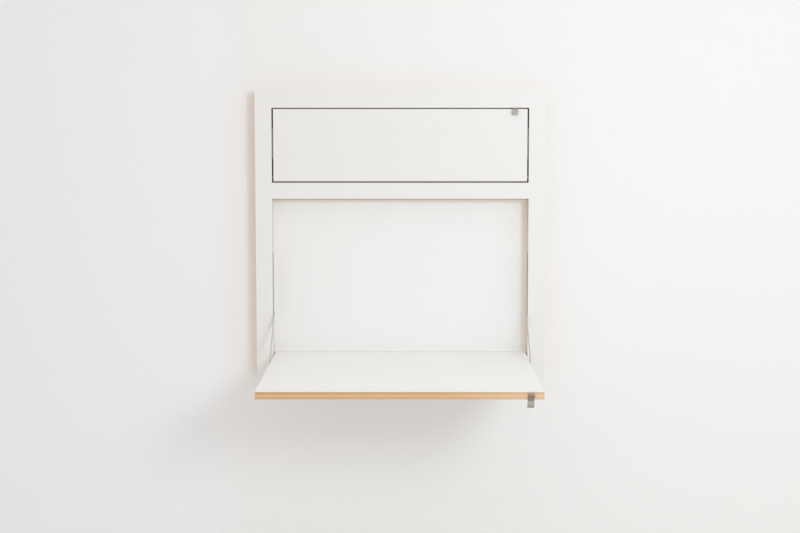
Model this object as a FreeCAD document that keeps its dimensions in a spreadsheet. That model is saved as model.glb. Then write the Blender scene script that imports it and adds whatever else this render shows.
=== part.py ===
"""Floating wall desk: a square plywood frame that hooks on a wall cleat, with a fold-down desk flap below a
fold-down upper flap. Each flap turns on two pins near its foot and is held level by two steel links that
slide in channels let into the stiles.

Millimetres. X runs to the right, Y into the wall, Z up. The origin is the middle of the cleat's screw line,
on the wall's plane. A flap is drawn closed in a local frame whose origin is its pivot line, and then turned
to its rest pose.
"""
import FreeCAD, Part
import math
import os
import re
import Sketcher

os.makedirs("parts", exist_ok=True)
doc = FreeCAD.newDocument("WallDesk")

# ---------------------------------------------------------------- sizes

DRIVING = {
    "frame_wide": 800, "frame_tall": 800, "stile_wide": 46.5, "end_rail": 46, "mid_rail": 44.5,
    "upper_tall": 206, "core_thick": 18, "skin_thick": 0.8, "flap_gap": 3.5, "pivot_rise": 11, "heel_ease": 1,
    "heel_room": 0.5, "stop_lap": 8, "batten_thick": 19.6,
    # wall cleat and hook
    "screw_line_drop": 34, "hook_tall": 26, "cleat_thick": 13, "cleat_foot": 16, "cleat_room": 0.3,
    "cleat_end_room": 8.5, "wall_screw_inset": 45, "wall_hole_r": 2.75, "wall_sink_r": 5.5,
    # stays
    "desk_pin_reach": 117, "desk_link_long": 169, "upper_pin_reach": 54, "upper_link_long": 79,
    "link_wide": 10, "link_thick": 2, "link_play": 0.15,
    "pin_r": 2.5, "pin_play": 0.05, "pin_deep": 14, "collar_r": 4, "collar_thick": 1, "rivet_stand": 0.5,
    "slider_long": 12, "slider_deep": 8, "slider_play": 0.2, "slider_ease": 1, "slider_bore_deep": 6,
    "slide_room": 0.5, "channel_wide": 10, "channel_deep": 10, "channel_wall": 1,
    # pivots
    "pivot_r": 2.5, "pivot_grip": 14, "bush_r": 3.5, "bush_deep": 16, "side_play": 0.3,
    # pull tabs
    "tab_wide": 16, "tab_thick": 2, "tab_inset": 24, "tab_root": 12, "tab_behind": 1.6, "tab_lift": 0.3,
    "tab_free": 17, "tab_stand": 9, "tab_drop": 15,
}

DERIVED = {
    "board_thick": "core_thick + 2 * skin_thick",
    "half_board": "board_thick / 2",
    "open_wide": "frame_wide - 2 * stile_wide",
    "lower_tall": "frame_tall - 2 * end_rail - mid_rail - upper_tall",
    "flap_wide": "open_wide - 2 * flap_gap",
    "depth": "board_thick + batten_thick",
    # heights of the frame's edges
    "top_z": "screw_line_drop",
    "upper_head_z": "top_z - end_rail",
    "upper_sill_z": "upper_head_z - upper_tall",
    "lower_head_z": "upper_sill_z - mid_rail",
    "lower_sill_z": "lower_head_z - lower_tall",
    "foot_z": "top_z - frame_tall",
    # depths of the frame's faces
    "front_y": "0 - depth",
    "core_front_y": "front_y + skin_thick",
    "core_back_y": "core_front_y + core_thick",
    "board_back_y": "front_y + board_thick",
    "pivot_y": "front_y + half_board",
    "ledge_y": "pivot_y + sqrt(half_board * half_board + pivot_rise * pivot_rise) + heel_room",
    # the wall cleat, and the hook's point at the wall
    "cleat_y": "0 - cleat_thick",
    "hook_z": "top_z - hook_tall",
    "cleat_wide": "open_wide - 2 * cleat_end_room",
    "outer_screw_x": "cleat_wide / 2 - wall_screw_inset",
    "inner_screw_x": "outer_screw_x / 3",
    # each flap's pivot line, height and stay
    "desk_pivot_z": "lower_sill_z + flap_gap + pivot_rise",
    "upper_pivot_z": "upper_sill_z + flap_gap + pivot_rise",
    "desk_tall": "lower_tall - 2 * flap_gap",
    "upper_flap_tall": "upper_tall - 2 * flap_gap",
    "desk_edge_v": "desk_tall - pivot_rise",
    "upper_edge_v": "upper_flap_tall - pivot_rise",
    "desk_lean": "asin(desk_pin_reach / desk_link_long)",
    "desk_slide_low": "sqrt(desk_link_long * desk_link_long - desk_pin_reach * desk_pin_reach)",
    "upper_slide_low": "sqrt(upper_link_long * upper_link_long - upper_pin_reach * upper_pin_reach)",
    "desk_slide_high": "desk_pin_reach + desk_link_long",
    "upper_slide_high": "upper_pin_reach + upper_link_long",
    # what lies in the gap beside a flap, outwards from the flap's edge
    "link_near": "collar_thick + link_play",
    "link_far": "link_near + link_thick",
    # the slider's play all round and its channel's ends
    "slider_wide": "channel_wide - 2 * channel_wall - 2 * slider_play",
    "channel_over": "slider_long / 2 + slide_room",
}

sheet = doc.addObject("Spreadsheet::Sheet", "Sizes")
for row, (alias, value) in enumerate({**DRIVING, **DERIVED}.items(), start=1):
    sheet.set(f"A{row}", alias)
    sheet.set(f"B{row}", f"={value}" if isinstance(value, str) else str(value))
    sheet.setAlias(f"B{row}", alias)
doc.recompute()

KNOWN = set(DRIVING) | set(DERIVED)
FLAPS = ("desk", "upper")
SIDES = {"left": -1, "right": 1}
FACING_IN = {"left": 0, "right": 180}     # turn about Z that points a local +X from that side to the middle
TURN_AT_REST = {"desk": 90, "upper": 0}   # the desk flap rests open, the upper flap closed
OVERCUT = 1                               # how far a cut runs past the face it starts from
SINK_TAPER = 45                           # half the angle of a countersunk head


def bound(text):
    """An expression on the sheet's cells."""
    return re.sub(r"[a-z_]+", lambda word: "Sizes." + word[0] if word[0] in KNOWN else word[0], str(text))


def value(text):
    """The present value of such an expression, for the first guess of a sketch."""
    found = sheet.evalExpression(str(text))
    return float(getattr(found, "Value", found))


# ---------------------------------------------------------------- drawing helpers


def new_body(label, place=None):
    body = doc.addObject("PartDesign::Body", label)
    if place:
        body.setExpression("Placement", bound(place))
    return body


def new_sketch(body, name, plane, level):
    """A sketch on one of the body's own planes, at a level along that plane's world axis."""
    sketch = body.newObject("Sketcher::SketchObject", f"{body.Name}_{name}")
    role = {"X": "YZ_Plane", "Y": "XZ_Plane", "Z": "XY_Plane"}[plane]
    sketch.AttachmentSupport = [(next(p for p in body.Origin.OriginFeatures if p.Role == role), "")]
    sketch.MapMode = "FlatFace"
    sketch.setExpression("AttachmentOffset.Base.z", bound(f"-({level})" if plane == "Y" else level))
    return sketch


def hold_point(sketch, edge, end, u, v):
    """Tie one end, or the centre, of a sketch edge to a place."""
    for kind, text in (("DistanceX", u), ("DistanceY", v)):
        number = sketch.addConstraint(Sketcher.Constraint(kind, -1, 1, edge, end, value(text)))
        sketch.setExpression(f"Constraints[{number}]", bound(text))


def draw_outline(sketch, points):
    """A closed outline of straight edges through the points, each given as a pair of expressions."""
    corners = [FreeCAD.Vector(value(u), value(v), 0) for u, v in points]
    first = sketch.GeometryCount
    for number, corner in enumerate(corners):
        after = corners[(number + 1) % len(corners)]
        sketch.addGeometry(Part.LineSegment(corner, after), False)
    for number, (u, v) in enumerate(points):
        following = first + (number + 1) % len(points)
        sketch.addConstraint(Sketcher.Constraint("Coincident", first + number, 2, following, 1))
        hold_point(sketch, first + number, 1, u, v)


def draw_box(sketch, low_u, high_u, low_v, high_v):
    draw_outline(sketch, [(low_u, low_v), (high_u, low_v), (high_u, high_v), (low_u, high_v)])


def draw_circle(sketch, u, v, radius):
    centre = FreeCAD.Vector(value(u), value(v), 0)
    edge = sketch.addGeometry(Part.Circle(centre, FreeCAD.Vector(0, 0, 1), value(radius)), False)
    hold_point(sketch, edge, 3, u, v)
    number = sketch.addConstraint(Sketcher.Constraint("Radius", edge, value(radius)))
    sketch.setExpression(f"Constraints[{number}]", bound(radius))


def draw_strip(sketch, high, radius):
    """A strip along +V with a round end about the origin and another about (0, high)."""
    up, half, axis = value(high), value(radius), FreeCAD.Vector(0, 0, 1)
    foot = Part.Circle(FreeCAD.Vector(0, 0, 0), axis, half)
    head = Part.Circle(FreeCAD.Vector(0, up, 0), axis, half)
    sketch.addGeometry(Part.LineSegment(FreeCAD.Vector(half, 0, 0), FreeCAD.Vector(half, up, 0)), False)
    sketch.addGeometry(Part.ArcOfCircle(head, 0, math.pi), False)
    sketch.addGeometry(Part.LineSegment(FreeCAD.Vector(-half, up, 0), FreeCAD.Vector(-half, 0, 0)), False)
    sketch.addGeometry(Part.ArcOfCircle(foot, math.pi, 2 * math.pi), False)
    for one, end, other, start in ((0, 2, 1, 1), (1, 2, 2, 1), (2, 2, 3, 1), (3, 2, 0, 1)):
        sketch.addConstraint(Sketcher.Constraint("Tangent", one, end, other, start))
    hold_point(sketch, 1, 3, 0, high)
    hold_point(sketch, 3, 3, 0, 0)
    number = sketch.addConstraint(Sketcher.Constraint("Radius", 1, half))
    sketch.setExpression(f"Constraints[{number}]", bound(radius))


def extrude(body, kind, name, sketch, plane, length, taper=None):
    """A Pad or Pocket of a sketch, always towards the positive world axis."""
    feature = body.newObject(f"PartDesign::{kind}", f"{body.Name}_{name}")
    feature.Profile = sketch
    feature.setExpression("Length", bound(length))
    feature.Reversed = (plane == "Y") == (kind == "Pad")
    if taper:
        feature.TaperAngle = taper
    sketch.Visibility = False
    return feature


def pad(body, name, plane, level, length, draw, taper=None):
    sketch = new_sketch(body, f"{name}_sketch", plane, level)
    draw(sketch)
    return extrude(body, "Pad", name, sketch, plane, length, taper)


def cut(body, name, plane, level, length, draw, taper=None):
    sketch = new_sketch(body, f"{name}_sketch", plane, level)
    draw(sketch)
    return extrude(body, "Pocket", name, sketch, plane, length, taper)


def turned(label, place, outline):
    """A piece turned about its local X axis, from an outline of (along, radius) corners."""
    body = new_body(label, place)
    sketch = new_sketch(body, "outline", "Z", "0")
    draw_outline(sketch, outline)
    spin = body.newObject("PartDesign::Revolution", f"{label}_turning")
    spin.Profile = sketch
    spin.ReferenceAxis = (sketch, ["H_Axis"])
    spin.Angle = 360
    sketch.Visibility = False
    return body


def circles(places, radius):
    """A drawing of one circle at each place."""
    def draw(sketch):
        for u, v in places:
            draw_circle(sketch, u, v, radius)
    return draw


# ---------------------------------------------------------------- places

def flap_place(flap):
    """The flap's own frame: its pivot line, turned from closed to the rest pose."""
    return f"placement(vector(0; pivot_y; {flap}_pivot_z); rotation(vector(1; 0; 0); {TURN_AT_REST[flap]}))"


def edge_place(flap, side, rise):
    """A point on the flap's side edge, at a distance above its pivot, with local +X into the flap."""
    away = f"vector({SIDES[side]} * flap_wide / 2; 0; {rise})"
    return f"{flap_place(flap)} * placement({away}; rotation(vector(0; 0; 1); {FACING_IN[side]}))"


def link_place(flap, side):
    """The link's lower eye, with local Z along the link and local +X towards the flap."""
    reach, lean = f"{flap}_pin_reach", "desk_lean"
    eye = {"desk": f"pivot_y - {reach}; desk_pivot_z", "upper": f"pivot_y; upper_pivot_z + {reach}"}[flap]
    facing = f"rotation(vector(0; 0; 1); {FACING_IN[side]})"
    turn = f"rotation(vector(1; 0; 0); -{lean}) * {facing}" if flap == "desk" else facing
    return f"placement(vector({SIDES[side]} * flap_wide / 2; {eye}); {turn})"


def slider_height(flap):
    """Where the slider stands at rest: low while the flap is open, high while it is closed."""
    return f"{flap}_pivot_z + {flap}_slide_" + {"desk": "low", "upper": "high"}[flap]


WALL_SCREWS = [(column, "0") for column in (
    "0 - outer_screw_x", "0 - inner_screw_x", "inner_screw_x", "outer_screw_x")]


# ---------------------------------------------------------------- frame board

def draw_frame_face(sketch):
    draw_box(sketch, "0 - frame_wide / 2", "frame_wide / 2", "foot_z", "top_z")
    for low, high in (("lower_sill_z", "lower_head_z"), ("upper_sill_z", "upper_head_z")):
        draw_box(sketch, "0 - open_wide / 2", "open_wide / 2", low, high)


def make_frame_board():
    core = new_body("frame_core")
    pad(core, "board", "Y", "core_front_y", "core_thick", draw_frame_face)
    # the grooves for the channels, through the opening into both stiles
    for flap in FLAPS:
        low = f"{flap}_pivot_z + {flap}_slide_low - channel_over"
        high = f"{flap}_pivot_z + {flap}_slide_high + channel_over"
        front, back = "pivot_y - channel_wide / 2", "pivot_y + channel_wide / 2"
        cut(core, f"{flap}_grooves", "X", "0 - open_wide / 2 - channel_deep", "open_wide + 2 * channel_deep",
            lambda sketch: draw_box(sketch, front, back, low, high))
    cut(core, "pivot_holes", "X", f"0 - frame_wide / 2 - {OVERCUT}", f"frame_wide + 2 * {OVERCUT}",
        circles([("pivot_y", f"{flap}_pivot_z") for flap in FLAPS], "pivot_r"))
    for face, level in (("front", "front_y"), ("rear", "core_back_y")):
        pad(new_body(f"frame_{face}_laminate"), "skin", "Y", level, "skin_thick", draw_frame_face)


# ---------------------------------------------------------------- battens and cleat

def across(label, outline, wide="open_wide"):
    """A batten that runs across the frame, from its outline in depth and height."""
    batten = new_body(label)
    pad(batten, "bar", "X", f"0 - {wide} / 2", wide, lambda sketch: draw_outline(sketch, outline))
    return batten


def ledged(label, bottom, sill, surface):
    """A batten below an opening. A ledge behind the flap's heel continues the open flap's surface."""
    across(label, [
        ("board_back_y", bottom), ("0", bottom), ("0", surface), ("ledge_y", surface), ("ledge_y", sill),
        ("board_back_y", sill)])


def make_battens():
    """The hanging and middle battens reach below their rails: the closed flaps stop against those laps."""
    ledged("bottom_batten", "foot_z", "lower_sill_z", "desk_pivot_z + half_board")
    ledged("middle_batten", "lower_head_z - stop_lap", "upper_sill_z", "upper_pivot_z + half_board")
    hook_y = "cleat_y - cleat_room"
    across("hanging_batten", [
        ("board_back_y", "upper_head_z - stop_lap"), (hook_y, "upper_head_z - stop_lap"),
        (hook_y, f"hook_z - ({hook_y})"), ("0", "hook_z"), ("0", "top_z"), ("board_back_y", "top_z")])
    for side, sign in SIDES.items():
        batten = new_body(f"{side}_batten")
        middle = f"{sign} * (frame_wide - stile_wide) / 2"
        pad(batten, "bar", "Y", "board_back_y", "batten_thick", lambda sketch: draw_box(
            sketch, f"{middle} - stile_wide / 2", f"{middle} + stile_wide / 2", "foot_z", "top_z"))


def make_wall_cleat():
    """The wall half of the hook: a bevelled strip whose head leans away from the wall."""
    outline = [("cleat_y", "0 - cleat_foot"), ("0", "0 - cleat_foot"), ("0", "hook_z"),
               ("cleat_y", "hook_z - cleat_y")]
    cleat = across("wall_cleat", outline, wide="cleat_wide")
    cut(cleat, "screw_holes", "Y", f"cleat_y - {OVERCUT}", f"cleat_thick + 2 * {OVERCUT}",
        circles(WALL_SCREWS, "wall_hole_r"))
    cut(cleat, "sinks", "Y", "cleat_y", "wall_sink_r - wall_hole_r", circles(WALL_SCREWS, "wall_sink_r"),
        taper=-SINK_TAPER)


# ---------------------------------------------------------------- flaps

def make_flap(flap):
    """Core and skins in section. The heel's outer arris is eased to clear the rail as the flap turns."""
    half_core, heel, edge = "core_thick / 2", "0 - pivot_rise", f"{flap}_edge_v"
    eased = f"{heel} + heel_ease - skin_thick"
    sections = {
        "core": [
            (f"0 - {half_core}", eased), (f"0 - {half_core}", edge), (half_core, edge), (half_core, heel),
            (f"heel_ease - skin_thick - {half_core}", heel)],
        "outer_laminate": [
            ("0 - half_board", f"{heel} + heel_ease"), ("0 - half_board", edge), (f"0 - {half_core}", edge),
            (f"0 - {half_core}", eased)],
        "inner_laminate": [
            (half_core, heel), (half_core, edge), ("half_board", edge), ("half_board", heel)],
    }
    bodies = {}
    for name, outline in sections.items():
        bodies[name] = new_body(f"{flap}_{name}", flap_place(flap))
        pad(bodies[name], "board", "X", "0 - flap_wide / 2", "flap_wide",
            lambda sketch: draw_outline(sketch, outline))
    core = bodies["core"]
    holes = (("bush", "0", "bush_r", "bush_deep"), ("pin", f"{flap}_pin_reach", "pin_r", "pin_deep"))
    for name, rise, radius, deep in holes:
        cut(core, f"left_{name}_hole", "X", "0 - flap_wide / 2", deep, circles([("0", rise)], radius))
        cut(core, f"right_{name}_hole", "X", f"flap_wide / 2 - {deep}", deep, circles([("0", rise)], radius))
    under, over = f"{half_core} - tab_behind - tab_thick", f"{half_core} - tab_behind"
    cut(core, "tab_kerf", "X", "flap_wide / 2 - tab_inset - tab_wide", "tab_wide",
        lambda sketch: draw_box(sketch, under, over, f"{edge} - tab_root", edge))


def make_tab(flap):
    """A webbing tab glued in the kerf and folded over the flap's edge, past its outer face. The desk's tab
    hangs straight down from the open flap; the upper flap's end droops in front of its face."""
    edge, root = f"{flap}_edge_v", "core_thick / 2 - tab_behind"
    under, over = f"{edge} + tab_lift", f"{edge} + tab_lift + tab_thick"
    outline = [(f"{root} - tab_thick", f"{edge} - tab_root"), (root, f"{edge} - tab_root"), (root, over)]
    if flap == "desk":
        outline += [("0 - half_board - tab_free", over), ("0 - half_board - tab_free", under)]
    else:
        outline += [
            ("0 - half_board - tab_thick", over),
            ("0 - half_board - tab_stand - tab_thick", f"{edge} - tab_drop"),
            ("0 - half_board - tab_stand", f"{edge} - tab_drop"),
            ("0 - half_board - tab_thick / 2", under)]
    outline += [(f"{root} - tab_thick", under)]
    tab = new_body(f"{flap}_pull_tab", flap_place(flap))
    pad(tab, "strap", "X", "flap_wide / 2 - tab_inset - tab_wide", "tab_wide",
        lambda sketch: draw_outline(sketch, outline))


# ---------------------------------------------------------------- pivots and stays

def make_pivot(flap, side):
    """A pin let in from the frame's outer edge, and the sleeve in the flap that turns on it."""
    place = (f"placement(vector({SIDES[side]} * frame_wide / 2; pivot_y; {flap}_pivot_z);"
             f" rotation(vector(0; 0; 1); {FACING_IN[side]}))")
    long = "stile_wide + flap_gap + pivot_grip"
    turned(f"{flap}_{side}_pivot_pin", place, [("0", "0"), ("0", "pivot_r"), (long, "pivot_r"), (long, "0")])
    near, bore = "side_play - flap_gap", "pivot_r + pin_play"
    turned(f"{flap}_{side}_pivot_bush", edge_place(flap, side, "0"), [
        (near, bore), (near, "bush_r"), ("bush_deep", "bush_r"), ("bush_deep", bore)])


def make_link(flap, side):
    """The steel link, the collared pin in the flap's edge, and the rivet at the slider's end."""
    far, near = "0 - link_far", "0 - link_near"
    turned(f"{flap}_{side}_link_pin", edge_place(flap, side, f"{flap}_pin_reach"), [
        (far, "0"), (far, "pin_r"), ("0 - collar_thick", "pin_r"), ("0 - collar_thick", "collar_r"),
        ("0", "collar_r"), ("0", "pin_r"), ("pin_deep", "pin_r"), ("pin_deep", "0")])

    link = new_body(f"{flap}_{side}_link", link_place(flap, side))
    long = f"{flap}_link_long"
    pad(link, "strip", "X", far, "link_thick", lambda sketch: draw_strip(sketch, long, "link_wide / 2"))
    through = f"link_thick + 2 * {OVERCUT}"
    cut(link, "pin_hole", "X", f"{far} - {OVERCUT}", through, circles([("0", "0")], "pin_r + pin_play"))
    cut(link, "rivet_hole", "X", f"{far} - {OVERCUT}", through, circles([("0", long)], "pin_r"))

    upper_eye = f"placement(vector(0; 0; {long}); rotation(vector(0; 0; 1); 0))"
    turned(f"{flap}_{side}_link_rivet", f"{link_place(flap, side)} * {upper_eye}", [
        (far, "0"), (far, "pin_r"), (f"{near} + rivet_stand", "pin_r"), (f"{near} + rivet_stand", "0")])


def make_slide(flap, side):
    """The nylon slider at its rest height, and the steel channel in the stile that it runs in."""
    sign = SIDES[side]
    face = f"{sign} * open_wide / 2"
    facing = f"rotation(vector(0; 0; 1); {FACING_IN[side]})"
    slider = new_body(
        f"{flap}_{side}_slider", f"placement(vector({face}; pivot_y; {slider_height(flap)}); {facing})")
    half, long = "slider_wide / 2", "slider_long / 2"
    pad(slider, "block", "X", "0 - slider_deep", "slider_deep", lambda sketch: draw_outline(sketch, [
        (f"slider_ease - {half}", f"0 - {long}"), (f"{half} - slider_ease", f"0 - {long}"),
        (half, f"slider_ease - {long}"), (half, f"{long} - slider_ease"), (f"{half} - slider_ease", long),
        (f"slider_ease - {half}", long), (f"0 - {half}", f"{long} - slider_ease"),
        (f"0 - {half}", f"slider_ease - {long}")]))
    cut(slider, "rivet_bore", "X", "0 - slider_bore_deep", f"slider_bore_deep + {OVERCUT}",
        circles([("0", "0")], "pin_r + pin_play"))

    channel = new_body(
        f"{flap}_{side}_channel", f"placement(vector({face}; pivot_y; {flap}_pivot_z); {facing})")
    outer, inner = "channel_wide / 2", "(channel_wide / 2 - channel_wall)"
    back, web = "0 - channel_deep", "channel_wall - channel_deep"
    low = f"{flap}_slide_low - channel_over"
    pad(channel, "section", "Z", low, f"{flap}_slide_high + channel_over - ({low})",
        lambda sketch: draw_outline(sketch, [
            ("0", f"0 - {outer}"), ("0", f"0 - {inner}"), (web, f"0 - {inner}"), (web, inner), ("0", inner),
            ("0", outer), (back, outer), (back, f"0 - {outer}")]))


# ---------------------------------------------------------------- build, check and write

make_frame_board()
make_battens()
make_wall_cleat()
for flap in FLAPS:
    make_flap(flap)
    make_tab(flap)
    for side in SIDES:
        make_pivot(flap, side)
        make_link(flap, side)
        make_slide(flap, side)
doc.recompute()

for thing in doc.Objects:
    if {"Invalid", "Error"} & set(thing.State):
        raise RuntimeError(f"{thing.Label} failed: {thing.State}")
    if thing.TypeId == "PartDesign::Pocket" and thing.Shape.Volume >= thing.BaseFeature.Shape.Volume:
        raise RuntimeError(f"{thing.Label} cuts nothing")

pieces = [thing for thing in doc.Objects if thing.TypeId == "PartDesign::Body"]
for piece in pieces:
    if piece.Shape.isNull() or not piece.Shape.isValid():
        raise RuntimeError(f"{piece.Label} has no valid shape")
for piece in pieces:
    piece.Shape.exportStep(f"parts/{piece.Label}.step")
print(len(pieces), "sub-parts written")
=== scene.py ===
"""Looks for the floating wall desk: laminate, birch plywood, steel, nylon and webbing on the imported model."""

import math
import random

import bpy
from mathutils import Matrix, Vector


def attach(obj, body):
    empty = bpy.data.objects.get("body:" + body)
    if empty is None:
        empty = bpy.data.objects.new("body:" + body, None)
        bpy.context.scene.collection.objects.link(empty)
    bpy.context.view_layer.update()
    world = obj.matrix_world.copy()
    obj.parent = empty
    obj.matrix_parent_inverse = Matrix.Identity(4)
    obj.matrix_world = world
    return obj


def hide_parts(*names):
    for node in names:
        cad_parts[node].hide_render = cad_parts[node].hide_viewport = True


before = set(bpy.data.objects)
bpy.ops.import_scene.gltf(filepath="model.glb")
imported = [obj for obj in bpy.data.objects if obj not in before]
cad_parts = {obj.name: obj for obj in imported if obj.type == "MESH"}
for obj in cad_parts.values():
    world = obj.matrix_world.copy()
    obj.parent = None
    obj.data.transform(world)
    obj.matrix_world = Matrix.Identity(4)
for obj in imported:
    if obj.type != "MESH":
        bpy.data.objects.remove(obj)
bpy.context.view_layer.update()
MM = 0.001

# ---------------------------------------------------------------- node helpers


class Shader:
    """A material's node tree, with short calls for the nodes used here."""

    def __init__(self, name):
        self.material = bpy.data.materials.new(name)
        self.material.use_nodes = True
        self.tree = self.material.node_tree
        self.surface = self.tree.nodes["Principled BSDF"]
        place = self.add("ShaderNodeTexCoord")
        self.at = place.outputs["Object"]
        self.normal = place.outputs["Normal"]

    def add(self, kind, **settings):
        node = self.tree.nodes.new(kind)
        for key, setting in settings.items():
            setattr(node, key, setting)
        return node

    def feed(self, socket, source):
        if isinstance(source, bpy.types.NodeSocket):
            self.tree.links.new(source, socket)
        else:
            socket.default_value = source

    def math(self, operation, *terms):
        node = self.add("ShaderNodeMath", operation=operation)
        for socket, term in zip(node.inputs, terms):
            self.feed(socket, term)
        return node.outputs[0]

    def more(self, value, limit):
        return self.math("GREATER_THAN", value, limit)

    def less(self, value, limit):
        return self.math("LESS_THAN", value, limit)

    def times(self, value, *others):
        for other in others:
            value = self.math("MULTIPLY", value, other)
        return value

    def vary(self, value, amount, base=1):
        """A base that a value moves by an amount."""
        return self.math("MULTIPLY_ADD", value, amount, base)

    def off(self, value, middle):
        """How far a value lies from a middle."""
        return self.math("ABSOLUTE", self.math("SUBTRACT", value, middle))

    def split(self, vector):
        node = self.add("ShaderNodeSeparateXYZ")
        self.feed(node.inputs[0], vector)
        return node.outputs

    def scaled(self, scale, source=None):
        node = self.add("ShaderNodeVectorMath", operation="MULTIPLY")
        self.feed(node.inputs[0], source or self.at)
        node.inputs[1].default_value = scale
        return node.outputs[0]

    def noise(self, scale, detail, source=None):
        """Noise from about -1 to 1. Its scale per metre is one number, or one for each axis."""
        node = self.add("ShaderNodeTexNoise")
        node.inputs["Scale"].default_value = 1
        node.inputs["Detail"].default_value = detail
        node.inputs["Roughness"].default_value = 0.55
        axes = scale if isinstance(scale, tuple) else (scale, scale, scale)
        self.feed(node.inputs["Vector"], self.scaled(axes, source))
        return self.vary(node.outputs["Fac"], 3.2, -1.6)

    def spread(self, value, low, high, to_low=0.0, to_high=1.0):
        """A smooth step between two limits."""
        node = self.add("ShaderNodeMapRange", interpolation_type="SMOOTHSTEP")
        for key, term in (("Value", value), ("From Min", low), ("From Max", high),
                          ("To Min", to_low), ("To Max", to_high)):
            self.feed(node.inputs[key], term)
        return node.outputs[0]

    def mix(self, factor, one, other):
        node = self.add("ShaderNodeMix", data_type="RGBA", blend_type="MIX")
        self.feed(node.inputs["Factor"], factor)
        for name, colour in (("A", one), ("B", other)):
            socket = next(s for s in node.inputs if s.name == name and s.type == "RGBA")
            self.feed(socket, colour if isinstance(colour, bpy.types.NodeSocket) else (*colour, 1))
        return next(s for s in node.outputs if s.type == "RGBA")

    def shade(self, colour, factor):
        """A colour times a factor near 1."""
        node = self.add("ShaderNodeVectorMath", operation="SCALE")
        self.feed(node.inputs[0], colour)
        self.feed(node.inputs["Scale"], factor)
        return node.outputs[0]

    def bump(self, height, depth):
        """Bump of the given depth in metres for a height of about -1 to 1."""
        node = self.add("ShaderNodeBump")
        node.inputs["Strength"].default_value = 1
        node.inputs["Distance"].default_value = depth
        self.feed(node.inputs["Height"], height)
        self.feed(self.surface.inputs["Normal"], node.outputs[0])

    def finish(self, colour, roughness, **settings):
        self.feed(self.surface.inputs["Base Color"], colour)
        self.feed(self.surface.inputs["Roughness"], roughness)
        for key, setting in settings.items():
            self.surface.inputs[key.replace("_", " ").title()].default_value = setting
        return self.material


# ---------------------------------------------------------------- laminate and lacquer

# the inner colour is painted light: a brighter copy of the white laminate for the flaps' inner faces, so that the open
# desk's top, which faces up, looks as bright as the fronts
LAMINATE, INNER_PAINTED_BRIGHT, LACQUER = (0.845, 0.845, 0.83), (0.885, 0.89, 0.87), (0.85, 0.845, 0.83)
RIM, CORE_AND_GAP_SHADE = (0.66, 0.47, 0.30), (0.16, 0.12, 0.09)
# the core's line runs from 0.6 mm inside a flap's side to 0.4 mm beyond its opening's, at both sides; on the
# laminate's edges it is its dark core, on the faces beside the gaps it is painted shade
ARRIS_X, ARRIS_HALF = 0.35165, 0.00225
UPPER_OPENING, LOWER_OPENING = (-0.115, 0.103), (-0.49125, 0.22875)      # middle height and half the height


def laminate(name, colour, rim=None, core=None):
    """White melamine laminate with a fine pearl grain and the faintest unevenness of gloss. rim colours its edges, and
    core is a dark line at the arris along the openings' sides: the laminate's dark core on its edges, and painted
    shade on the faces beside the gaps."""
    s = Shader(name)
    pearl = s.noise(2600, 1)
    tone = s.vary(pearl, 0.006, s.vary(s.noise(3, 2), 0.006))
    s.bump(s.math("ADD", pearl, s.times(s.noise(500, 1), 0.6)), 0.000012)
    face = colour
    if rim:
        upright = s.less(s.math("ABSOLUTE", s.split(s.normal)[2]), 0.3)
        face = s.mix(upright, face, rim)
    if core:
        x, _, z = s.split(s.at)
        line = s.less(s.off(s.math("ABSOLUTE", x), ARRIS_X), ARRIS_HALF)
        upper, lower = (s.less(s.off(z, middle), half) for middle, half in (UPPER_OPENING, LOWER_OPENING))
        # painted shade: a dark band on the faces beside the openings' side gaps, which also darkens the laminate's
        # edges there
        face = s.mix(s.times(line, s.math("MAXIMUM", upper, lower)), face, core)
    return s.finish(s.shade(face, tone), s.vary(s.noise(14, 3), 0.03, 0.46))


def lacquer():
    """White lacquer on the bottom batten: a soft satin film with a trace of brush drag and orange peel."""
    s = Shader("white_lacquer")
    peel, drag = s.noise(900, 2), s.noise((60, 1500, 1500), 2)
    s.bump(s.vary(drag, 0.4, peel), 0.000025)
    return s.finish(s.shade(LACQUER, s.vary(s.noise(5, 2), 0.008)), s.vary(peel, 0.03, 0.5))


# ---------------------------------------------------------------- plywood

LONG_GRAIN, END_GRAIN, GLUE = (0.80, 0.53, 0.30), (0.64, 0.37, 0.185), (0.30, 0.15, 0.07)
FACE_LIGHT, FACE_DARK = (0.80, 0.60, 0.40), (0.68, 0.47, 0.29)
# LIT_EDGE is the paler colour that the edges take on the right: painted light
LIT_EDGE, WHITENED = (0.80, 0.68, 0.52), (0.87, 0.86, 0.83)
# a tone for each veneer
TONES = (0.80, 0.68, 0.90, 1.02, 1.08, 1.12, 1.12, 1.10, 1.06, 1.0, 0.90, 0.84, 0.92)
DESK_TONES = (0.92, 0.82, 0.86, 0.95, 1.01, 1.02, 1.03, 0.99, 0.93, 0.84, 0.73, 0.78, 0.92)
SQUARE = 0.5      # a face looks along an axis where its normal's part along it is past this
# places on the frame, in metres
MIDDLE_RAIL, OUTER_TOP, OUTER_RIGHT = -0.23, 0.03, 0.39
FADE_FULL, FADE_NONE = -0.43, -0.30      # painted light: the right inner side is paled below the first, and not above the second
# STOP_LAP and the corner heights bound the painted shade in the stop's corner under the middle rail
STOP_LAP, CORNER_LOW, CORNER_HIGH = -0.25, -0.2672, -0.2655
LIT_FROM, LIT_TO, LIT_MOST = 0.05, 0.36, 0.3      # painted light: the edges lighten to the right, towards the lamp, up to this much


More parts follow.
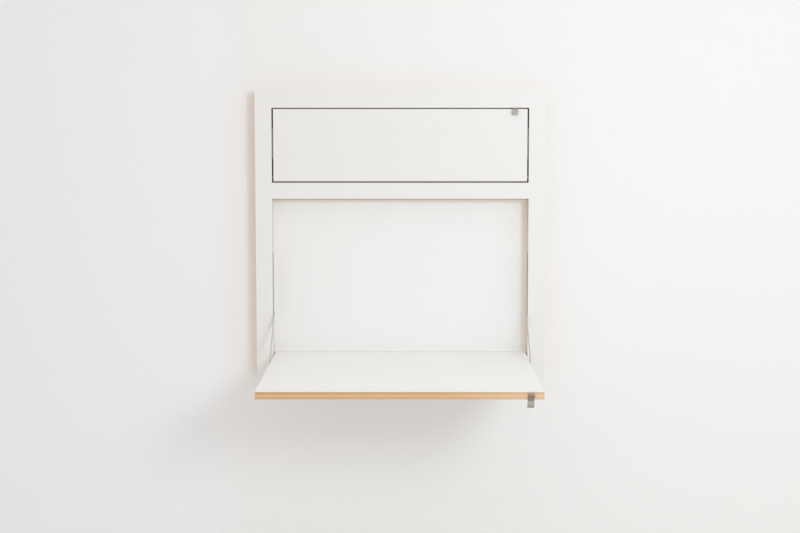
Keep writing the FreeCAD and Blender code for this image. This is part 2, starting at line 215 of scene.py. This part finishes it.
def toned(s, colour, tones, stack):
    """A colour with each veneer's own tone. The ramp's steps are halved, since a tone can be above 1."""
    ramp = s.add("ShaderNodeValToRGB")
    ramp.color_ramp.interpolation = "CONSTANT"
    stops = ramp.color_ramp.elements
    for number, tone in enumerate(tones):
        stop = stops[0] if number == 0 else stops.new(number / len(tones))
        stop.color = (tone / 2, tone / 2, tone / 2, 1)
    stops.remove(stops[len(stops) - 1])
    s.feed(ramp.inputs[0], s.math("DIVIDE", stack, len(tones)))
    return s.shade(colour, s.times(s.split(ramp.outputs[0])[0], 2))


def face_veneer(s, grain):
    """Long soft figure, rays and a few darker streaks."""
    along = {"X": (5, 160, 160), "Z": (160, 160, 5)}[grain]
    figure = s.noise(along, 4, source=s.scaled((1, 0.2, 1)))
    fleck = s.noise(tuple(7 * k for k in along), 2)
    return s.shade(s.mix(s.spread(figure, -0.9, 1.1), FACE_LIGHT, FACE_DARK), s.vary(fleck, 0.05))


def limewash_and_painted_light(s, colour, x, z, facing, sides=0, room=0, left=0, right=0, outer=0):
    """Pales a colour by where it is and what it faces. On the sides and on what faces the room or the floor the paling
    is a limewash. The rest is painted light: the left inner side below the middle rail, where the lamp lights it, the
    right inner side low down, standing in for less warm bounce light in its shade, and the outer top and right, which
    face the light."""
    to_room = s.less(s.math("MINIMUM", facing[1], facing[2]), -SQUARE)
    # painted light: the lit left inner side, the right inner side low in its shade, and the outer top and right, which
    # face the light
    painted_lit_left = s.times(s.more(facing[0], SQUARE), s.less(x, 0), s.less(z, MIDDLE_RAIL))
    painted_low_right = s.times(s.less(facing[0], -SQUARE), s.more(x, 0), s.spread(z, FADE_FULL, FADE_NONE, 1, 0))
    painted_lit_outer = s.math("MAXIMUM", s.times(s.more(facing[2], SQUARE), s.more(z, OUTER_TOP)),
                      s.times(s.more(facing[0], SQUARE), s.more(x, OUTER_RIGHT)))
    paled = sides
    for where, amount in ((painted_lit_left, left), (to_room, room), (painted_low_right, right), (painted_lit_outer, outer)):
        paled = s.vary(where, amount - sides, paled)
    # painted shade: what faces the room is darker just under the middle rail, in the corner of the stop that laps
    # below it, and a little lighter lower down
    painted_corner_shade = s.math("SUBTRACT", s.spread(z, CORNER_LOW, CORNER_HIGH, 1.06, 0.8), 1)
    return s.shade(s.mix(paled, colour, WHITENED), s.vary(s.times(to_room, s.less(z, STOP_LAP)), painted_corner_shade))


def plywood(name, axis, start, thick, grain, tones, **paleness):
    """Birch plywood. Its veneers are stacked along an axis, and grain is the axis that the face veneer runs along.
    paleness says how far each place is paled, by the paling function's names: a limewash on the sides and on what
    faces the room, painted light elsewhere."""
    s = Shader(name)
    x, y, z = s.split(s.at)
    level = {"Y": y, "Z": z}[axis]
    facing = s.split(s.normal)
    sideways = s.more(s.math("ABSOLUTE", facing[0]), SQUARE)
    flat = s.more(s.math("ABSOLUTE", facing[axis]), 0.7)
    # how many veneers lie below, a little wavy
    stack = s.vary(s.noise(9, 2), 0.05, s.times(s.math("SUBTRACT", level, start), len(tones) / thick))
    # every other veneer lies across the first: it shows its end grain where the others show long grain
    end = s.off(s.math("FLOORED_MODULO", s.math("FLOOR", stack), 2), sideways)
    fibre = s.noise({"Y": (70, 2200, 70), "Z": (70, 70, 2200)}[axis], 3)
    pores = s.noise(2400, 2)
    edge = s.mix(end, s.shade(LONG_GRAIN, s.vary(fibre, 0.07)), s.shade(END_GRAIN, s.vary(pores, 0.2)))
    patch = s.noise({"Y": (26, 700, 26), "Z": (26, 26, 700)}[axis], 2)
    edge = s.shade(toned(s, edge, tones, stack), s.vary(patch, 0.045))
    glue = s.times(s.spread(s.off(s.math("FRACT", stack), 0.5), 0.40, 0.48), s.vary(s.noise(40, 1), 0.2, 0.5))
    # painted light: the edges pale towards LIT_EDGE on the right, where the lamp is
    edge = s.mix(s.times(s.spread(x, LIT_FROM, LIT_TO), LIT_MOST), s.mix(glue, edge, GLUE), LIT_EDGE)
    relief = s.times(s.math("ADD", s.times(end, pores), fibre), 0.5)
    s.bump(s.math("SUBTRACT", relief, glue), 0.00003)
    colour = limewash_and_painted_light(s, s.mix(flat, edge, face_veneer(s, grain)), x, z, facing, **paleness)
    return s.finish(colour, s.vary(pores, 0.05, 0.5))


# ---------------------------------------------------------------- metal, nylon and webbing

# the channel's colour is a dark zinc, darkened further as painted shade for the slot that it lines
STEEL, SLOT_SHADE_ZINC = (0.58, 0.57, 0.55), (0.2, 0.195, 0.19)
NYLON, BLACK, THREAD = (0.80, 0.79, 0.75), (0.03, 0.03, 0.03), (0.14, 0.125, 0.11)
TAB_LEFT, TAB_RIGHT = 310, 326      # the tabs' sides, in millimetres
WARP, WEFT, TWILL = 0.0016, 0.0011, 0.0032      # pitches of the weave, in metres


def brushed(name, colour, along, rough):
    """Brushed metal: fine lines along one axis, with the odd deeper one."""
    s = Shader(name)
    line = s.noise({"X": (25, 2600, 2600), "Z": (2600, 2600, 25)}[along], 3)
    s.bump(line, 0.000006)
    roughness = s.vary(s.noise(90, 2), 0.05, s.vary(line, 0.04, rough))
    return s.finish(s.shade(colour, s.vary(line, 0.06)), roughness, metallic=1.0, anisotropic=0.4)


def nylon(name, colour):
    s = Shader(name)
    grain = s.noise(1800, 2)
    s.bump(grain, 0.000015)
    return s.finish(s.shade(colour, s.vary(s.noise(60, 2), 0.015)), s.vary(grain, 0.04, 0.42), subsurface_weight=0.05)


def webbing(name, colour_and_shade):
    """Grey polyester webbing: warp cords along the strap, weft across. Marks give its colour at heights in
    millimetres: the grey of the strap, browner towards its root, with darker bands that are painted shade where it
    folds, bends or is pinched, and a painted highlight on a bulge."""
    s = Shader(name)
    x, _, run = s.split(s.at)
    middle = (TAB_LEFT + TAB_RIGHT) / 2 * MM
    warp, weft, twill = (s.math("SINE", s.times(value, 2 * math.pi / pitch)) for value, pitch in (
        (x, WARP), (run, WEFT), (s.math("ADD", s.off(x, middle), run), TWILL)))
    height = s.math("ADD", s.times(warp, 0.6), s.times(weft, twill, 0.4))
    hair = s.noise(3000, 2)
    tone = s.vary(height, 0.12, s.vary(hair, 0.08))
    ramp = s.add("ShaderNodeValToRGB")
    stops = ramp.color_ramp.elements
    low, high = colour_and_shade[0][0], colour_and_shade[-1][0]
    stops[0].color, stops[1].color = (*colour_and_shade[0][1], 1), (*colour_and_shade[-1][1], 1)
    for place, colour in colour_and_shade[1:-1]:
        stops.new((place - low) / (high - low)).color = (*colour, 1)
    uneven = s.vary(s.noise(260, 2), 0.0008, run)
    s.feed(ramp.inputs[0], s.math("DIVIDE", s.math("SUBTRACT", uneven, low * MM), (high - low) * MM))
    s.bump(s.vary(hair, 0.3, height), 0.00016)
    return s.finish(s.shade(ramp.outputs[0], tone), 0.85, sheen_weight=0.3, sheen_roughness=0.5)


def thread():
    s = Shader("thread")
    twist = s.noise(2500, 2)
    s.bump(twist, 0.00004)
    return s.finish(s.shade(THREAD, s.vary(twist, 0.2)), 0.8, sheen_weight=0.2)


# ---------------------------------------------------------------- materials and eased edges of the nodes

# painted light: the flaps' inner faces get a brighter copy of the white laminate
painted_bright = laminate("inner_laminate", INNER_PAINTED_BRIGHT)
# lined: white laminate with the painted shade beside the side gaps
lined = laminate("lined_laminate", LAMINATE, core=CORE_AND_GAP_SHADE)
BY_NODE = {
    "desk_inner_laminate": painted_bright, "upper_inner_laminate": painted_bright,
    "frame_front_laminate": lined, "upper_outer_laminate": lined,
    "desk_outer_laminate": laminate("under_laminate", LAMINATE, RIM, CORE_AND_GAP_SHADE),
    "desk_core": plywood("plywood_desk", "Z", -0.7145, 0.018, "X", DESK_TONES),
    "bottom_batten": lacquer(),
}
BY_KIND = {
    "laminate": laminate("white_laminate", LAMINATE),
    # left, right and outer are painted light; sides and room are a limewash
    "core": plywood("plywood_board", "Y", -0.0384, 0.018, "X", TONES,
                    sides=0.05, room=0.2, left=0.85, right=0.3, outer=0.3),
    "batten": plywood("limed_plywood", "Y", -0.0196, 0.0196, "Z", TONES,
                      sides=0.1, room=0.75, left=0.9, right=0.35, outer=0.7),
    "cleat": plywood("plywood_cleat", "Y", -0.013, 0.013, "X", TONES[2:11]),
    "slider": nylon("black_nylon", BLACK), "bush": nylon("nylon", NYLON),
    "channel": brushed("dark_channel", SLOT_SHADE_ZINC, "Z", 0.34), "link": brushed("steel_strip", STEEL, "Z", 0.3),
}
turned = brushed("steel_turned", STEEL, "X", 0.26)
# widths in millimetres
EASES = {"laminate": 0.25, "core": 0.12, "batten": 0.6, "cleat": 0.6, "link": 0.35, "channel": 0.2, "slider": 0.3,
         "pin": 0.2, "rivet": 0.2, "bush": 0.2}


def ease(obj, width):
    """Eased edges that catch the light, made by modifiers over the unchanged mesh."""
    weld = obj.modifiers.new("weld", "WELD")
    weld.merge_threshold = 0.000005
    bevel = obj.modifiers.new("ease", "BEVEL")
    bevel.width, bevel.segments, bevel.limit_method, bevel.angle_limit = width, 2, "ANGLE", math.radians(40)
    obj.modifiers.new("even", "WEIGHTED_NORMAL")


for label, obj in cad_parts.items():
    kind = label.split("_")[-1]
    obj.data.materials.clear()
    obj.data.materials.append(BY_NODE.get(label) or BY_KIND.get(kind, turned))
    if kind in EASES:
        ease(obj, EASES[kind] * MM)


# ---------------------------------------------------------------- pull tabs, in millimetres

WEBBING_THICK = 0.86
ACROSS = 14                         # faces across the strap
SELVEDGE = 0.86                     # where the strap starts to thin, as a part of its half width
STITCH_LEFT, STITCH_RIGHT, BARS = 311.2, 324.8, 9
BAR_RADIUS, BAR_RISE, BAR_SLANT = 0.26, 0.12, 0.5
BAR_LENGTH, BAR_END = 0.8, 0.55     # a bar's length as a part of the pitch, and its end's radius of the full one
BAR_RINGS, BAR_SIDES = 7, 6


def piece(name, verts, faces, material, body):
    mesh = bpy.data.meshes.new(name)
    mesh.from_pydata([tuple(c * MM for c in v) for v in verts], [], faces)
    mesh.validate()
    for polygon in mesh.polygons:
        polygon.use_smooth = True
    obj = bpy.data.objects.new(name, mesh)
    bpy.context.scene.collection.objects.link(obj)
    mesh.materials.append(material)
    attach(obj, body)
    return obj


def smooth_path(points, steps=6):
    """A Catmull-Rom line through the points."""
    line = []
    for number in range(len(points) - 1):
        a, b, c, d = (Vector(points[max(0, min(len(points) - 1, number + k))]) for k in (-1, 0, 1, 2))
        for step in range(steps):
            t = step / steps
            line.append(0.5 * (2 * b + (c - a) * t + (2 * a - 5 * b + 4 * c - d) * t * t
                               + (3 * b - a - 3 * c + d) * t ** 3))
    return line + [Vector(points[-1])]


def strap(name, points, lean, material, body):
    """Webbing swept along a path in depth and height. Its selvedges are rounder and its middle is a little crowned.
    lean gives the sideways shift at each place."""
    line = smooth_path(points)
    middle, half = (TAB_LEFT + TAB_RIGHT) / 2, (TAB_RIGHT - TAB_LEFT) / 2
    columns = [-1 + 2 * k / ACROSS for k in range(ACROSS + 1)]
    rng = random.Random(7)
    verts, faces = [], []
    for number, at in enumerate(line):
        before, after = line[max(0, number - 1)], line[min(len(line) - 1, number + 1)]
        run = (after - before).normalized()
        out = Vector((-run.y, run.x))
        for side in (1, -1):
            for u in columns[::side]:
                thinned = 1 - 0.75 * max(0, abs(u) - SELVEDGE) / (1 - SELVEDGE)
                swell = WEBBING_THICK / 2 * thinned * (1 + 0.1 * math.cos(9 * math.pi * u))
                fray = 0.12 * (rng.random() - 0.5) if abs(u) == 1 else 0
                spot = at + out * side * swell
                verts.append((middle + u * half + fray + lean(at), spot.x, spot.y))
    size = 2 * len(columns)
    for number in range(len(line) - 1):
        for k in range(size):
            a, b = number * size + k, number * size + (k + 1) % size
            faces.append((a, b, b + size, a + size))
    faces += [tuple(range(size))[::-1], tuple(range(len(verts) - size, len(verts)))]
    return piece(name, verts, faces, material, body)


def stitches(name, rows, lean, material, body):
    """Bar tacks: short thread bars lying on the webbing. Each row gives its depth, height and outward direction."""
    verts, faces = [], []
    pitch = (STITCH_RIGHT - STITCH_LEFT) / BARS
    for depth, height, out_y, out_z in rows:
        shift = lean(Vector((depth, height)))
        for bar in range(BARS):
            start = STITCH_LEFT + pitch * (bar + (1 - BAR_LENGTH) / 2)
            base = len(verts)
            for ring in range(BAR_RINGS):
                t = ring / (BAR_RINGS - 1)
                swell = math.sin(math.pi * t)
                radius = BAR_RADIUS * (BAR_END + (1 - BAR_END) * swell)
                for k in range(BAR_SIDES):
                    turn = 2 * math.pi * k / BAR_SIDES
                    up = radius * math.cos(turn) + BAR_RISE * swell
                    along = radius * math.sin(turn) + BAR_SLANT * (t - 0.5)
                    verts.append((start + pitch * BAR_LENGTH * t + shift, depth + out_y * up - out_z * along,
                                  height + out_z * up + out_y * along))
            for ring in range(BAR_RINGS - 1):
                for k in range(BAR_SIDES):
                    one, two = base + ring * BAR_SIDES + k, base + ring * BAR_SIDES + (k + 1) % BAR_SIDES
                    faces.append((one, two, two + BAR_SIDES, one + BAR_SIDES))
            last = base + (BAR_RINGS - 1) * BAR_SIDES
            faces += [tuple(range(base, base + BAR_SIDES))[::-1], tuple(range(last, last + BAR_SIDES))]
    return piece(name, verts, faces, material, body)


def desk_lean(at):
    """The desk's tab hangs from 0.4 mm right of its middle to 1.3 mm left, over the 28 mm below Z -704."""
    return 0.4 - 1.7 * max(0, min(1, (-704 - at.y) / 28)) ** 1.2


def upper_lean(at):
    """The upper tab lies 2.4 mm left of its middle, and 3.6 mm at its end, 50 mm in front of the wall."""
    return -2.4 - 1.2 * max(0, min(1, (-40 - at.x) / 10))


DESK_PATH = [
    (-457, -698.65), (-463, -698.65), (-467.8, -698.7), (-470.2, -699.6), (-470.75, -702), (-470.9, -706),
    (-471.3, -710.5), (-471, -714), (-470.9, -717), (-471.8, -720.5), (-472.4, -726), (-472, -732), (-470.2, -734.8),
    (-468.6, -732), (-468.4, -726), (-469, -720.5), (-469.8, -717), (-469.75, -712), (-469.75, -706), (-469.7, -702.5),
    (-469.3, -700.4), (-467.6, -699.65), (-463, -699.6), (-457, -699.6)]
# the desk tab's colours by height: painted shade at the loop's lower end, where it folds, at the bar tacks and in a
# band higher up, with a painted highlight on the bulge between; browner towards the root
DESK_COLOUR_AND_SHADE = [
    (-736, (0.34, 0.32, 0.29)), (-729, (0.35, 0.33, 0.3)), (-727.5, (0.44, 0.41, 0.365)), (-720, (0.44, 0.41, 0.365)),
    (-718, (0.40, 0.36, 0.31)), (-716.6, (0.24, 0.21, 0.175)), (-714.5, (0.28, 0.24, 0.195)),
    (-711.6, (0.32, 0.265, 0.215)), (-709.4, (0.21, 0.16, 0.115)), (-706, (0.275, 0.198, 0.138)),
    (-703, (0.365, 0.25, 0.183)), (-700, (0.46, 0.33, 0.26)), (-697, (0.46, 0.33, 0.26))]
UPPER_PATH = [
    (-22.45, -27.3), (-22.45, -21), (-22.5, -16), (-22.9, -14.2), (-24.4, -13.68), (-31, -13.65), (-38, -13.65),
    (-41, -14.2), (-42.9, -16.4), (-45, -20.6), (-47.8, -25.4), (-49.6, -28.6), (-49.7, -30), (-48.7, -30.1),
    (-47.3, -28), (-44.6, -23), (-42.4, -18.6), (-41, -16.2), (-39.6, -15), (-37, -14.65), (-31, -14.65),
    (-25, -14.7), (-23.8, -15.2), (-23.45, -16.6), (-23.45, -21), (-23.45, -27.3)]
# the upper tab's colours by height: painted shade at its root, in the gap, and a little darker towards its end
UPPER_COLOUR_AND_SHADE = [
    (-32, (0.42, 0.39, 0.35)), (-24, (0.47, 0.44, 0.39)), (-19, (0.50, 0.44, 0.385)), (-15.6, (0.48, 0.42, 0.365)),
    (-14.4, (0.33, 0.285, 0.245)), (-13, (0.33, 0.285, 0.245))]
DESK_TACKS = [(-471.3, -716.2, -1, 0), (-471.3, -717.6, -1, 0)]
UPPER_TACKS = [(-43.35, -16.3, -0.86, 0.5), (-44.0, -17.6, -0.86, 0.5)]

desk_tab = strap("desk_tab_webbing", DESK_PATH, desk_lean, webbing("webbing_desk", DESK_COLOUR_AND_SHADE), "desk_flap")
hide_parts("desk_pull_tab")
upper_tab = strap("upper_tab_webbing", UPPER_PATH, upper_lean, webbing("webbing_upper", UPPER_COLOUR_AND_SHADE), "upper_flap")
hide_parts("upper_pull_tab")
thread_material = thread()
stitches("desk_tab_stitching", DESK_TACKS, desk_lean, thread_material, "desk_flap")
stitches("upper_tab_stitching", UPPER_TACKS, upper_lean, thread_material, "upper_flap")


# ---------------------------------------------------------------- stage, light and camera

FLOOR, WALL_TOP, SIDE, FRONT, BACK = -1.43, 4, 7, -9, 5
WALL_AT = 0.0005           # just behind the object's back
# WALL_LEFT is a painted cool tint, full at LEFT_FULL and gone at LEFT_NONE, which offsets the warmer light at the left
FLOOR_COLOUR, WALL, WALL_LEFT = (0.83, 0.811, 0.785), (0.897, 0.897, 0.893), (0.898, 0.913, 0.936)
LEFT_FULL, LEFT_NONE = -0.56, -0.42
HIDDEN_WITHIN = 0.006      # rays shorter than this leave the back of the object, which lies on the wall
SKY, SKY_LEVEL, SKY_RISE = (0.935, 0.90, 0.868, 1), 0.766, 0.32
CAMERA_TILT = 4.32


def plane(name, corners, material):
    mesh = bpy.data.meshes.new(name)
    mesh.from_pydata(corners, [], [(0, 1, 2, 3)])
    mesh.materials.append(material)
    obj = bpy.data.objects.new(name, mesh)
    bpy.context.scene.collection.objects.link(obj)
    return obj


def wall_paint():
    """Matt wall paint with a painted cool tint at the left, which offsets the warmer light falling there. It isn't
    seen or felt from behind, so that the object's back can be looked at and lit."""
    s = Shader("wall_paint")
    s.bump(s.noise(420, 3), 0.00006)
    left = s.spread(s.split(s.at)[0], LEFT_FULL, LEFT_NONE, 1, 0)
    s.finish(s.shade(s.mix(left, WALL, WALL_LEFT), s.vary(s.noise(1.5, 2), 0.004)), 0.9)
    path, side = s.add("ShaderNodeLightPath"), s.add("ShaderNodeNewGeometry")
    behind = s.math("MAXIMUM", side.outputs["Backfacing"], s.more(path.outputs["Transparent Depth"], 0.5))
    hidden = s.math("MAXIMUM", s.less(path.outputs["Ray Length"], HIDDEN_WITHIN), behind)
    clear, blend = s.add("ShaderNodeBsdfTransparent"), s.add("ShaderNodeMixShader")
    s.feed(blend.inputs[0], hidden)
    s.feed(blend.inputs[1], s.surface.outputs[0])
    s.feed(blend.inputs[2], clear.outputs[0])
    s.feed(s.tree.nodes["Material Output"].inputs[0], blend.outputs[0])
    return s.material


def floor_paint():
    s = Shader("floor")
    s.bump(s.noise(300, 3), 0.00005)
    return s.finish(s.shade(FLOOR_COLOUR, s.vary(s.noise(2, 2), 0.01)), 0.7)


plane("wall", [(-SIDE, WALL_AT, FLOOR), (SIDE, WALL_AT, FLOOR), (SIDE, WALL_AT, WALL_TOP), (-SIDE, WALL_AT, WALL_TOP)],
      wall_paint())
plane("floor", [(-SIDE, FRONT, FLOOR), (SIDE, FRONT, FLOOR), (SIDE, BACK, FLOOR), (-SIDE, BACK, FLOOR)], floor_paint())

# an even studio that is a little stronger from above
world = bpy.data.worlds.new("studio")
bpy.context.scene.world = world
world.use_nodes = True
nodes, links = world.node_tree.nodes, world.node_tree.links
sky = nodes["Background"]
sky.inputs["Color"].default_value = SKY
aim, part = nodes.new("ShaderNodeTexCoord"), nodes.new("ShaderNodeSeparateXYZ")
above, level = nodes.new("ShaderNodeMath"), nodes.new("ShaderNodeMath")
above.operation, level.operation = "MAXIMUM", "MULTIPLY_ADD"
above.inputs[1].default_value = 0
level.inputs[1].default_value, level.inputs[2].default_value = SKY_RISE, SKY_LEVEL
links.new(aim.outputs["Generated"], part.inputs[0])
links.new(part.outputs["Z"], above.inputs[0])
links.new(above.outputs[0], level.inputs[0])
links.new(level.outputs[0], sky.inputs["Strength"])

lamp_data = bpy.data.lights.new("key", "AREA")
lamp_data.shape, lamp_data.size, lamp_data.energy, lamp_data.color = "DISK", 0.80, 15.4, (0.88, 1, 1.11)
lamp = bpy.data.objects.new("key", lamp_data)
bpy.context.scene.collection.objects.link(lamp)
lamp.location = (1.15, -2.25, 0.40)
lamp_aim = Vector((0.1, 0, -0.35)) - Vector(lamp.location)
lamp.rotation_euler = lamp_aim.to_track_quat("-Z", "Y").to_euler()

camera_data = bpy.data.cameras.new("camera")
camera = bpy.data.objects.new("camera", camera_data)
bpy.context.scene.collection.objects.link(camera)
bpy.context.scene.camera = camera
camera_data.sensor_fit, camera_data.sensor_width = "HORIZONTAL", 36
camera_data.lens, camera_data.shift_x, camera_data.shift_y = 51.706, -0.0064, -0.09
camera.location = (0.0133, -3.2005, -0.0118)
camera.rotation_euler = (math.radians(90 - CAMERA_TILT), 0, 0)
camera_data.clip_start, camera_data.clip_end = 0.05, 50

bpy.context.scene.view_settings.view_transform = "Standard"
